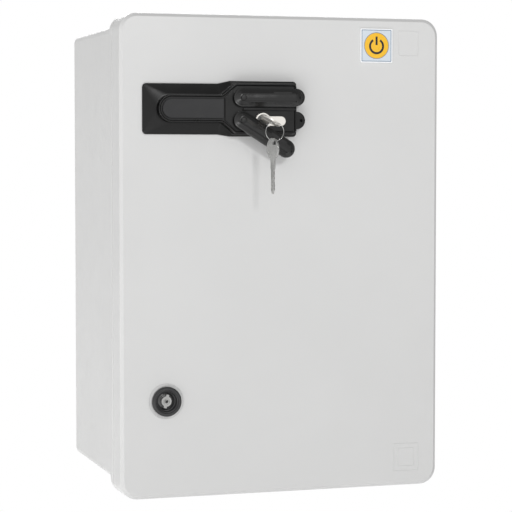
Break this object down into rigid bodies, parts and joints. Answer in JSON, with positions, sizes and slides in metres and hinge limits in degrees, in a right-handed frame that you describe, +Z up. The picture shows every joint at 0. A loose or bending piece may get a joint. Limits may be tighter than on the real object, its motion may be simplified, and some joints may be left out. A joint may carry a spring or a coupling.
{
  "type": "enclosed magnetic motor starter",
  "caption": "Wall-mounted moulded cabinet with a hinged deep door, swing-lever lock, quarter-turn lock and keys, holding a breaker, contactor, overload relay and terminals.",
  "frame": {"origin": "middle of the cabinet's flat back, where it meets the wall", "axes": "+Z up, +Y into the wall, +X to the right of the door as one stands in front of it"},
  "size_m": [0.35, 0.3194, 0.516],
  "materials": {
    "grey_moulding": "light grey glass-fibre polyester moulding, satin",
    "black_plastic": "black glass-filled polyamide, fine grain",
    "grip_plastic": "dark grey matt grip surface",
    "nickel": "nickel-plated brass, satin",
    "zinc_steel": "zinc-plated steel",
    "rubber": "foamed polyurethane seal",
    "label_film": "white label plate with a yellow and grey sign",
    "light_housing": "light grey device housing",
    "dark_housing": "anthracite device housing",
    "copper_coil": "enamelled copper winding",
    "core_steel": "laminated magnet steel",
    "red_plastic": "red moulded plastic",
    "blue_plastic": "blue moulded plastic",
    "terminal_grey": "grey terminal housing",
    "wire_black": "black wire insulation"
  },
  "bodies": {
    "cabinet": {"body_shell": "grey_moulding", "hinge_bracket_upper": "zinc_steel", "hinge_bracket_lower": "zinc_steel", "hinge_pin_upper": "zinc_steel", "hinge_pin_lower": "zinc_steel", "latch_keeper_upper": "zinc_steel", "latch_keeper_lower": "zinc_steel", "mounting_plate": "zinc_steel", "plate_screw_top_left": "zinc_steel", "plate_screw_top_right": "zinc_steel", "plate_screw_bottom_left": "zinc_steel", "plate_screw_bottom_right": "zinc_steel", "din_rail_upper": "zinc_steel", "din_rail_lower": "zinc_steel", "breaker_body": "light_housing", "contactor_base": "dark_housing", "contactor_cover": "light_housing", "contactor_coil": "copper_coil", "magnet_core": "core_steel", "overload_body": "light_housing", "terminal_block": "terminal_grey", "line_wire_1": "wire_black", "line_wire_2": "wire_black", "line_wire_3": "wire_black", "motor_wire_1": "wire_black", "motor_wire_2": "wire_black", "motor_wire_3": "wire_black", "gland_body_left": "black_plastic", "gland_body_right": "black_plastic", "gland_nut_left": "black_plastic", "gland_nut_right": "black_plastic"},
    "door": {"door_shell": "grey_moulding", "door_gasket": "rubber", "label_plate": "label_film", "hinge_arm_upper": "zinc_steel", "hinge_arm_lower": "zinc_steel", "handle_dish": "black_plastic", "quarter_turn_housing": "black_plastic"},
    "spindle": {"lever_spindle": "zinc_steel", "lever_pin": "zinc_steel", "lever_cam": "zinc_steel"},
    "lever": {"swing_lever": "black_plastic", "grip_insert": "grip_plastic", "lock_cylinder": "nickel", "cylinder_blank": "black_plastic", "upper_cover_rivet": "zinc_steel", "lower_cover_rivet": "zinc_steel"},
    "upper_cover": {"upper_cover": "black_plastic"},
    "lower_cover": {"lower_cover": "black_plastic"},
    "lock_plug": {"lock_plug": "nickel", "key_in_lock": "nickel"},
    "key_ring": {"key_ring": "nickel"},
    "spare_key": {"spare_key": "nickel"},
    "quarter_turn": {"quarter_turn_insert": "nickel", "quarter_turn_cam": "zinc_steel"},
    "breaker_knob": {"breaker_knob": "dark_housing"},
    "contact_carrier": {"contact_carrier": "red_plastic"},
    "overload_dial": {"overload_dial": "light_housing"},
    "overload_reset": {"overload_reset": "blue_plastic"},
    "overload_test": {"overload_test": "red_plastic"}
  },
  "joints": [
    {"name": "door_hinge", "type": "hinge", "parent": "cabinet", "child": "door", "pos_m": [0.1705, -0.212, 0], "axis": [0, 0, 1], "range_deg": [0, 115]},
    {"name": "lever_swing", "type": "hinge", "parent": "door", "child": "spindle", "pos_m": [-0.1235, -0.265, 0.1527], "axis": [0, 1, 0], "range_deg": [0, 90]},
    {"name": "lever_tilt", "type": "hinge", "parent": "spindle", "child": "lever", "pos_m": [-0.1337, -0.2757, 0.1527], "axis": [0, 0, -1], "range_deg": [0, 28]},
    {"name": "upper_cover_turn", "type": "hinge", "parent": "lever", "child": "upper_cover", "pos_m": [-0.05, -0.2828, 0.164], "axis": [0, -1, 0], "range_deg": [0, 90]},
    {"name": "lower_cover_turn", "type": "hinge", "parent": "lever", "child": "lower_cover", "pos_m": [-0.05, -0.2828, 0.141], "axis": [0, 1, 0], "range_deg": [0, 58]},
    {"name": "lock_turn", "type": "hinge", "parent": "lever", "child": "lock_plug", "pos_m": [-0.027, -0.2825, 0.1401], "axis": [0, 1, 0], "range_deg": [-17, 19]},
    {"name": "key_ring_swing", "type": "hinge", "parent": "lock_plug", "child": "key_ring", "pos_m": [-0.02426, -0.312, 0.13845], "axis": [-1, 0, 0], "range_deg": [-3, 30]},
    {"name": "spare_key_swing", "type": "hinge", "parent": "key_ring", "child": "spare_key", "pos_m": [-0.02426, -0.312, 0.11925], "axis": [-1, 0, 0], "range_deg": [-12, 25]},
    {"name": "quarter_turn", "type": "hinge", "parent": "door", "child": "quarter_turn", "pos_m": [-0.1266, -0.265, -0.1487], "axis": [0, 1, 0], "range_deg": [0, 90]},
    {"name": "breaker_switch", "type": "hinge", "parent": "cabinet", "child": "breaker_knob", "pos_m": [-0.0895, -0.0924, 0.1], "axis": [0, 1, 0], "range_deg": [0, 90]},
    {"name": "contact_stroke", "type": "slide", "parent": "cabinet", "child": "contact_carrier", "axis": [0, 1, 0], "range_m": [0, 0.0034], "stiffness_N_per_m": 900, "springref_m": -0.003},
    {"name": "overload_setting", "type": "hinge", "parent": "cabinet", "child": "overload_dial", "pos_m": [-0.0185, -0.0853, 0.038], "axis": [0, 1, 0], "range_deg": [-120, 120]},
    {"name": "reset_press", "type": "slide", "parent": "cabinet", "child": "overload_reset", "axis": [0, 1, 0], "range_m": [0, 0.0025], "stiffness_N_per_m": 500, "springref_m": -0.001},
    {"name": "test_press", "type": "slide", "parent": "cabinet", "child": "overload_test", "axis": [0, 1, 0], "range_m": [0, 0.0025], "stiffness_N_per_m": 500, "springref_m": -0.001}
  ]
}
